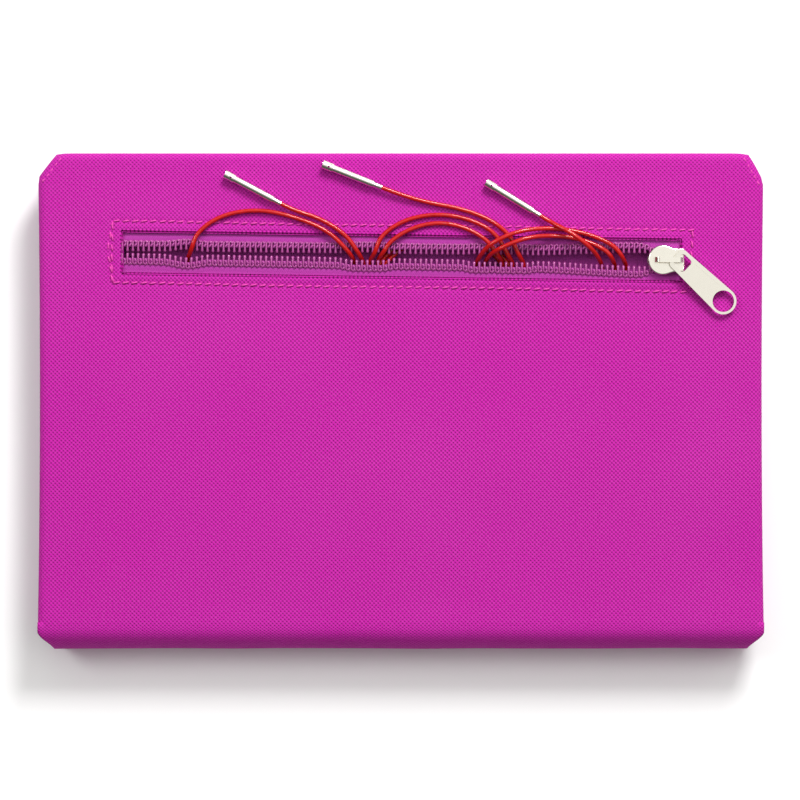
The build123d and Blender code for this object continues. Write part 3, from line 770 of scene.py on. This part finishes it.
def make_teeth(side, label, settings):
    """One row of zip teeth: a flattened helix of nylon wire.

    Across the row the wire swings by the turn's cosine and in height by its sine, and it swells
    into a round head on the gap's side; it steps on to the next tooth only at its outer end.
    """
    pitch = settings.tooth_pitch
    s_low, s_high = -WINDOW_HALF[0] - 1.5, 92.0
    turns = int((s_high - s_low) / pitch)
    steps = 18
    angle = np.linspace(0, turns * TURN, turns * steps + 1)
    swing = np.cos(angle)
    turn, part = np.divmod(angle / TURN, 1)
    s = s_low + pitch * (turn + smooth_step(part, 0.36, 0.64))
    gap = zip_gap(s, side)
    width = row_width(s)
    across = gap + 0.4 + (width - 0.8) * 0.5 * (1 - swing * (1.12 - 0.12 * swing**2))
    height = TAPE_TOP + 0.5 + 0.4 * np.sin(angle)
    x, y = zip_to_case(s, side * across)
    path = np.stack([x, y, height], -1)[None]
    head = smooth_step(swing, 0.45, 0.95)
    points, faces = tubes(path, TOOTH_WIRE + TOOTH_HEAD * head, 8)
    teeth = new_piece(f"zip_coil_{label}", points, faces, "zip_teeth", "back_half")
    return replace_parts(teeth, f"zip_teeth_{label}")


def make_zip_stitches(side, label, settings):
    """The two lines of chain stitch that hold a row of teeth: slanted loops that lean away from
    the left end and meet in a chevron over each tooth."""
    pitch = settings.tooth_pitch
    s = np.arange(-WINDOW_HALF[0] - 1.0, 91.0, pitch)
    gap = zip_gap(s, side)
    width = row_width(s)
    steps = np.linspace(0, 1, 6)
    arms = []
    for low, high in ((0.44, 0.72), (1.0, 0.72)):
        part = low + (high - low) * steps[None]
        across = gap[:, None] + width[:, None] * part
        along = s[:, None] + 0.48 * pitch * steps[None]
        arch = 0.12 * np.sin(steps[None] * math.pi)
        height = TAPE_TOP + 1.2 - 0.25 * smooth_step(part, 0.7, 1.0) + arch + 0 * along
        x, y = zip_to_case(along, side * across)
        arms.append(np.stack([x, y, height], -1))
    paths = np.concatenate(arms)
    points, faces = tubes(paths, capsule_radii(6, ZIP_THREAD), 6)
    stitches = new_piece(f"zip_stitches_{label}", points, faces, "zip_thread", "back_half")
    return stitches


def make_tape(side, label):
    """One side of the zip's tape: a band from under the teeth out beneath the canvas, with a
    raised selvedge cord beside the teeth."""
    s = np.linspace(-96.5, 96.5, 300)
    across = np.linspace(0, 1, 15)
    S, V = np.meshgrid(s, across, indexing="ij")
    inner = zip_gap(S, side) + 0.42 * row_width(S)
    t = inner + (11.8 - inner) * V ** 1.2
    beyond = t - zip_gap(S, side) - row_width(S)
    lift = 0.10 * np.sin(S / 11.0 + side) * smooth_step(beyond, 0.2, 2.5)
    ridge = 0.28 * np.exp(-((beyond - 0.55) / 0.35) ** 2)
    z = TAPE_TOP - 0.05 + lift * smooth_step(-t, -7.4, -5.5) + ridge
    x, y = zip_to_case(S, side * t)
    points = np.stack([x, y, z], -1).reshape(-1, 3)
    faces = grid_faces(len(s), len(across))
    faces = faces[:, ::-1] if side > 0 else faces
    uv = np.stack([S, t], -1).reshape(-1, 2)
    tape = new_piece(f"zip_band_{label}", points, faces[:, ::-1], "zip_tape", "back_half", uv)
    thicken(tape, TAPE_WALL)
    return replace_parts(tape, f"zip_tape_{label}")


# ------------------------------------------------------------------ cords
CORD_RADIUS = 0.75
CORD_LIFT = 0.15
COVER_LEVEL = CASE_TOP + CORD_RADIUS + CORD_LIFT
OVER = 3.4
TURN_STEP = 1.7
METAL_END = 20.9
# A cord goes down through the gap at this slope, in degrees, meeting the gap's middle a shift
# above the tape's middle, and its coil is cut off this far short of the gap.
GAP_SLOPE = 60
TAPE_MIDDLE = 20.1
GAP_SHIFT = 1.35
COIL_CUT = 7.7
LAYERS = {1: 16.75, 2: 18.75, 3: 16.75}
# Each cord: its lead's way on the cover, then its loops out of the gap as (left x, points, right
# x), its coil in the pocket as (middle, radius, turns wholly in the pocket) and the length that is
# declared for it, in metres, which the line made here meets to within a tenth.
CORDS = {
    1: {
        "lead": ((-27.0, 60.8, 0), (-18.2, 55.4, 0)),
        "lead_x": -12.4,
        "stub": 5.0,
        "loops": (
            (
                -70.6,
                ((-67.3, 56.0, 0), (-59.0, 61.8, 0), (-47.1, 63.6, 0), (-36.0, 61.4, 0), (-24.2, 56.8, 0)),
                -15.2,
            ),
        ),
        "coil": ((-42.0, 29.6), 31.8, 0),
        "length": 0.308,
    },
    2: {
        "lead": ((8.6, 65.8, 0), (20.0, 63.8, 0), (29.5, 60.2, 0), (36.0, 55.2, 0)),
        "lead_x": 40.4,
        "stub": 6.0,
        "loops": (
            (
                -10.0,
                ((-6.8, 54.8, 0), (1.2, 60.2, 0), (12.0, 62.2, 0), (22.8, 60.4, 0), (31.4, 55.8, 0)),
                36.8,
            ),
            (
                -7.4,
                ((-3.4, 53.2, 0), (3.8, 57.6, 0), (12.6, 59.4, 0), (21.4, 57.6, 0), (28.6, 53.4, 0)),
                33.4,
            ),
        ),
        "coil": ((14.6, 31.0), 27.6, 2),
        "length": 0.718,
    },
    3: {
        "lead": ((54.4, 56.6, OVER), (61.0, 52.2, OVER)),
        "lead_x": 66.6,
        "stub": 4.5,
        "loops": (
            (
                24.8,
                ((29.8, 52.4, OVER), (38.6, 56.4, OVER), (50.2, 57.6, 0), (61.6, 55.6, 0), (70.2, 51.8, 0)),
                74.6,
            ),
            (
                27.6,
                ((33.4, 51.0, OVER), (41.4, 54.2, OVER), (50.4, 55.0, 0), (59.4, 53.8, 0), (66.9, 50.6, 0)),
                71.0,
            ),
        ),
        "coil": ((50.6, 22.0), 30.6, 0),
        "length": 0.518,
    },
}


def gap_middle(x):
    """The zip's centre line at x."""
    return ZIP_MIDDLE[1] + (x - ZIP_MIDDLE[0]) * math.tan(ZIP_TILT)


def dip(x, layer, lean):
    """Route points from the cover at x down through the gap to a layer of the pocket, leaning
    along the zip the way the cord arrives."""
    y = gap_middle(x)
    slope = math.tan(math.radians(GAP_SLOPE))
    run = (COVER_LEVEL - layer) / slope
    start = (COVER_LEVEL - TAPE_MIDDLE - GAP_SHIFT) / slope
    foot = y - COIL_CUT
    return [
        (x - 1.5 * lean, y + start, COVER_LEVEL),
        (x + 0.4 * lean, y + start - run, layer),
        (x, foot, layer),
    ]


def arc(middle, radius, start, end, layer, grow=0.0):
    """Points round part of a turn in the pocket, anticlockwise, 16 to a full turn."""
    count = max(3, int(abs(end - start) / TURN * 16))
    angle = np.linspace(start, end, count)
    size = radius + np.linspace(0, grow, count)
    return [(middle[0] + r * math.cos(a), middle[1] + r * math.sin(a), layer) for r, a in zip(size, angle)]


def cord_route(number):
    """A cord's control points from its inner end to its outer end, in mm."""
    data = CORDS[number]
    layer = LAYERS[number]
    (cx, cy), radius, hidden = data["coil"]
    low, high = node_box(f"cord_{number}_inner_end")
    y_in = (low[1] + high[1]) / 2
    route = [(high[0], y_in, layer), (high[0] + 4.0, y_in, layer)]
    first = math.radians(-8)
    if hidden:
        inner = radius - TURN_STEP * hidden
        route += arc((cx, cy), inner, first, first + hidden * TURN, layer, TURN_STEP * hidden)
    exits = [(loop[2], loop[1][::-1], loop[0]) for loop in data["loops"]][::-1]
    for k, (right_x, over, left_x) in enumerate(exits):
        size = radius + TURN_STEP * k
        if k == 0 and not hidden:
            route += arc((cx, cy), size - 1.0, first, math.radians(8), layer)[1:]
        route += dip(right_x, layer, 1)[::-1]
        route += [(x, y, COVER_LEVEL + lift) for x, y, lift in over]
        route += dip(left_x, layer, -1)
        route += arc((cx, cy), size, math.radians(180), math.radians(360), layer, 1.2)
    route += dip(data["lead_x"], layer, 1)[::-1]
    route += [(x, y, COVER_LEVEL + lift) for x, y, lift in data["lead"][::-1]]
    tail, along, height = outer_end(number)
    route += [(*(tail + along * data["stub"]), height), (*tail, height)]
    return route


# Each cord's outer metal end, as its free tip and a place towards the cord.
ENDS_FREE = {
    1: ((-57.9, 75.1), (-39.5, 65.4)),
    2: ((-25.7, 78.3), (-6.3, 70.7)),
    3: ((28.1, 72.4), (45.5, 61.7)),
}


def outer_end(number):
    """Where the cord meets its outer metal end, the end's direction, and its height."""
    free, towards = (np.array(p) for p in ENDS_FREE[number])
    along = (towards - free) / np.linalg.norm(towards - free)
    low, high = node_box(f"cord_{number}_outer_end")
    return free + along * METAL_END, along, (low[2] + high[2]) / 2


def make_cord(number, settings):
    """A cord as one smooth line between its two metal ends."""
    route = cord_route(number)
    curve = bpy.data.curves.new(f"cord_{number}", "CURVE")
    curve.dimensions = "3D"
    spline = curve.splines.new("NURBS")
    spline.points.add(len(route) - 1)
    flat = np.ones((len(route), 4))
    flat[:, :3] = np.array(route) * MM
    spline.points.foreach_set("co", flat.ravel())
    spline.order_u = 3
    spline.use_endpoint_u = True
    spline.resolution_u = 8
    curve.bevel_depth = settings.diameter / 2 * MM
    curve.bevel_resolution = 4
    curve.use_fill_caps = True
    curve.materials.append(material("cord"))
    cord = put_in(f"cord_{number}", curve)
    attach(cord, "back_half")
    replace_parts(cord, f"cord_{number}_lead", f"cord_{number}_loops", f"cord_{number}_coil")
    return cord


# ------------------------------------------------------------------ inside
POCKET_WALL = 0.4


def make_tip_pockets():
    """The stitched sheet that holds the needle tips.

    Across the case the height follows a rounded hump over each pair of tips and touches the
    lining between them; along the case the humps fall at the closed end and flare at the mouth.
    """
    low, high = node_box("tip_pockets")
    lining = node_box("front_lining")[1][2]
    xs = np.linspace(low[0], high[0], 560)
    ys = np.linspace(low[1], high[1], 60)
    X, Y = np.meshgrid(xs, ys, indexing="xy")
    height = np.full_like(X, 0.5)
    for node in (n for n in frame["nodes"] if n.startswith("tip_pair")):
        tip_low, tip_high = node_box(node)
        centre = (tip_low[0] + tip_high[0]) / 2
        half = (tip_high[0] - tip_low[0]) / 2 + 1.2
        tall = tip_high[2] - lining + 0.55
        inside = np.clip(1 - (np.abs(X - centre) / half) ** 4, 0, None) ** 0.5
        height = np.maximum(height, 0.5 + (tall - 0.5) * inside)
    rise = smooth_step(Y, low[1], low[1] + 5)
    crease = 0.12 * np.sin(Y / 7.0 + X / 3.0) * smooth_step(height, 1.0, 3.0)
    Z = lining + 0.05 + (height - 0.5) * rise + 0.5 + crease
    points = np.stack([X, Y, Z], -1).reshape(-1, 3)
    uv = np.stack([X, Y], -1).reshape(-1, 2)
    faces = grid_faces(len(ys), len(xs))
    sheet = new_piece("needle_pockets", points, faces, "pocket_cloth", "front_half", uv)
    thicken(sheet, POCKET_WALL)
    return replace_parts(sheet, "tip_pockets")


def make_size_marks():
    """The needle sizes as plain figures on the pockets' mouths."""
    mouth = node_box("tip_pockets")[1][1]
    from_mouth = 8.0
    above_tips = 0.72
    marks = []
    for node in (n for n in frame["nodes"] if n.startswith("tip_pair")):
        figure = node.replace("tip_pair_", "").replace("mm", "").replace("_", ".")
        low, high = node_box(node)
        text = bpy.data.curves.new(f"mark_{node}", "FONT")
        text.body = figure
        text.size = 6.5 * MM
        text.extrude = 0.12 * MM
        text.align_x = "CENTER"
        text.align_y = "CENTER"
        holder = put_in(f"mark_{node}", text)
        bpy.context.view_layer.update()
        mesh = bpy.data.meshes.new_from_object(holder.evaluated_get(bpy.context.evaluated_depsgraph_get()))
        bpy.data.objects.remove(holder)
        co = np.empty(len(mesh.vertices) * 3)
        mesh.vertices.foreach_get("co", co)
        co = co.reshape(-1, 3)
        co += np.array([(low[0] + high[0]) / 2, mouth - from_mouth, high[2] + above_tips]) * MM
        mesh.vertices.foreach_set("co", co.ravel())
        mesh.update()
        mesh.materials.clear()
        mesh.materials.append(material("marking"))
        mark = put_in(f"size_mark_{figure.replace('.', '_')}", mesh)
        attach(mark, "front_half")
        marks.append(mark)
    return marks


def dress(node, finish):
    """Give a CAD node one of the object's finishes."""
    piece = bpy.data.objects[node]
    piece.data.materials.clear()
    piece.data.materials.append(material(finish))


def round_edges(node, width):
    """Break the sharp edges of a CAD node's metal."""
    bevel = bpy.data.objects[node].modifiers.new("edges", "BEVEL")
    bevel.width = width * MM
    bevel.segments = 3
    bevel.limit_method = "ANGLE"
    bevel.angle_limit = math.radians(40)
    bevel.harden_normals = True


NODE_FINISHES = {
    "nickel": ("slider_body", "slider_bail", "puller", "snap_sockets", "snap_studs", "cord_coupler"),
    "solid_lining": (
        "front_lining",
        "back_lining",
        "pocket_back_sheet",
        "pocket_gussets",
        "pocket_front_sheet",
        "closure_patches_front",
        "closure_patches_back",
    ),
    "board": ("front_board", "back_board"),
    "padding": ("back_padding",),
    "elastic": ("coupler_loop",),
}


# ------------------------------------------------------------------ stage
def make_camera():
    """A camera straight above, its picture 264 mm wide at the cover."""
    distance = 1200.0
    width = 263.8
    data = bpy.data.cameras.new("camera")
    data.sensor_width = 36.0
    data.lens = 36.0 * distance / width
    data.clip_end = 20.0
    camera = put_in("camera", data)
    camera.location = (-0.25 * MM, 0.7 * MM, (CASE_TOP + distance) * MM)
    bpy.context.scene.camera = camera
    return camera


def make_light(name, place, size, power):
    """A square soft light aimed at the case."""
    data = bpy.data.lights.new(name, "AREA")
    data.shape = "SQUARE"
    data.size = size
    data.energy = power
    lamp = put_in(name, data)
    lamp.location = place
    aim = np.array(place) / np.linalg.norm(place)
    lamp.rotation_euler = (math.acos(aim[2]), 0, math.atan2(aim[1], aim[0]) + math.pi / 2)
    return lamp


def light_sky(world):
    """A studio dome: bright round one direction, overhead and a little to the far right, and dark
    beyond, so that round metal gets a bright side and a dark one."""
    world.use_nodes = True
    tree = world.node_tree
    place = tree.nodes.new("ShaderNodeTexCoord")
    facing = tree.nodes.new("ShaderNodeVectorMath")
    facing.operation = "DOT_PRODUCT"
    facing.inputs[1].default_value = (0.30, 0.50, 0.81)
    fade = tree.nodes.new("ShaderNodeMapRange")
    fade.interpolation_type = "SMOOTHSTEP"
    for socket, value in (("From Min", 0.35), ("From Max", 1.0), ("To Min", 0.10), ("To Max", 1.22)):
        fade.inputs[socket].default_value = value
    background = tree.nodes["Background"]
    background.inputs["Color"].default_value = (1.0, 0.99, 0.97, 1)
    tree.links.new(place.outputs["Generated"], facing.inputs[0])
    tree.links.new(facing.outputs["Value"], fade.inputs["Value"])
    tree.links.new(fade.outputs["Result"], background.inputs["Strength"])


def make_floor():
    """A plain pale floor under the case."""
    mesh = bpy.data.meshes.new("floor")
    size = 4.0
    corners = [(-size, -size, 0), (size, -size, 0), (size, size, 0), (-size, size, 0)]
    mesh.from_pydata(corners, [], [(0, 1, 2, 3)])
    paint = bpy.data.materials.new("floor")
    paint.use_nodes = True
    shader = paint.node_tree.nodes["Principled BSDF"]
    shader.inputs["Base Color"].default_value = (0.96, 0.96, 0.96, 1)
    shader.inputs["Roughness"].default_value = 0.9
    mesh.materials.append(paint)
    floor = put_in("floor", mesh)
    floor.location = (0, 0, -0.0002)
    return floor


# ------------------------------------------------------------------ operators
class NEEDLESET_OT_stage(bpy.types.Operator):
    """Put in the camera, the lights, the world and the floor"""

    bl_idname = "needleset.stage"
    bl_label = "Stage"

    def execute(self, context):
        make_camera()
        make_floor()
        context.scene.view_settings.view_transform = "Standard"
        world = context.scene.world or bpy.data.worlds.new("world")
        context.scene.world = world
        light_sky(world)
        make_light("key", (0.35, 0.9, 0.9), 0.4, 14.5)
        make_light("fill", (-0.9, 0.4, 1.1), 0.5, 5.6)
        return {"FINISHED"}


class NEEDLESET_OT_cords(bpy.types.Operator):
    """Lay the three cords through the zip and plate their metal ends"""

    bl_idname = "needleset.cords"
    bl_label = "Cords"

    def execute(self, context):
        for number in CORDS:
            for end in ENDS:
                dress(f"cord_{number}_{end}", "nickel")
            make_cord(number, context.scene.needle_cords)
        return {"FINISHED"}


class NEEDLESET_OT_covers(bpy.types.Operator):
    """Make the canvas covers, the spine and their seams"""

    bl_idname = "needleset.covers"
    bl_label = "Canvas covers"

    def execute(self, context):
        make_cover("back_cover", "back_panel", "back_half", 1, True, 3)
        make_cover("front_cover", "front_panel", "front_half", -1, False, 8)
        make_spine()
        make_seams(context.scene.needle_case)
        return {"FINISHED"}


class NEEDLESET_OT_zip(bpy.types.Operator):
    """Make the zip's tapes, teeth and stitching"""

    bl_idname = "needleset.zip"
    bl_label = "Zip"

    def execute(self, context):
        settings = context.scene.needle_zip
        for side, label in ((1, "upper"), (-1, "lower")):
            make_tape(side, label)
            make_teeth(side, label, settings)
            make_zip_stitches(side, label, settings)
        return {"FINISHED"}


class NEEDLESET_OT_inside(bpy.types.Operator):
    """Make the needle pockets and finish every other node"""

    bl_idname = "needleset.inside"
    bl_label = "Inside"

    def execute(self, context):
        make_tip_pockets()
        make_size_marks()
        for finish, nodes in NODE_FINISHES.items():
            for node in nodes:
                dress(node, finish)
        for node in (n for n in frame["nodes"] if n.startswith("tip_pair")):
            dress(node, "polished_nickel")
        for node, width in (("puller", 0.22), ("slider_bail", 0.18), ("slider_body", 0.15)):
            round_edges(node, width)
        return {"FINISHED"}


class NEEDLESET_PT_panel(bpy.types.Panel):
    """The needle set's settings and builders"""

    bl_idname = "NEEDLESET_PT_panel"
    bl_label = "Needle set"
    bl_space_type = "VIEW_3D"
    bl_region_type = "UI"
    bl_category = "Needle set"

    def draw(self, context):
        scene = context.scene
        for group in (scene.needle_case, scene.needle_zip, scene.needle_cords):
            box = self.layout.box()
            for name in group.__annotations__:
                box.prop(group, name)
        for operator in OPERATORS:
            self.layout.operator(operator.bl_idname)


OPERATORS = (
    NEEDLESET_OT_stage,
    NEEDLESET_OT_cords,
    NEEDLESET_OT_covers,
    NEEDLESET_OT_zip,
    NEEDLESET_OT_inside,
)
GROUPS = (("needle_case", CaseSettings), ("needle_zip", ZipSettings), ("needle_cords", CordSettings))


def register():
    for _, group in GROUPS:
        bpy.utils.register_class(group)
    for name, group in GROUPS:
        setattr(bpy.types.Scene, name, bpy.props.PointerProperty(type=group))
    for operator in OPERATORS:
        bpy.utils.register_class(operator)
    bpy.utils.register_class(NEEDLESET_PT_panel)


def unregister():
    bpy.utils.unregister_class(NEEDLESET_PT_panel)
    for operator in reversed(OPERATORS):
        bpy.utils.unregister_class(operator)
    for name, group in GROUPS:
        delattr(bpy.types.Scene, name)
        bpy.utils.unregister_class(group)


def main():
    """Register the add-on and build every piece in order."""
    register()
    for operator in OPERATORS:
        getattr(bpy.ops.needleset, operator.bl_idname.split(".")[1])()


if __name__ == "__main__":
    main()
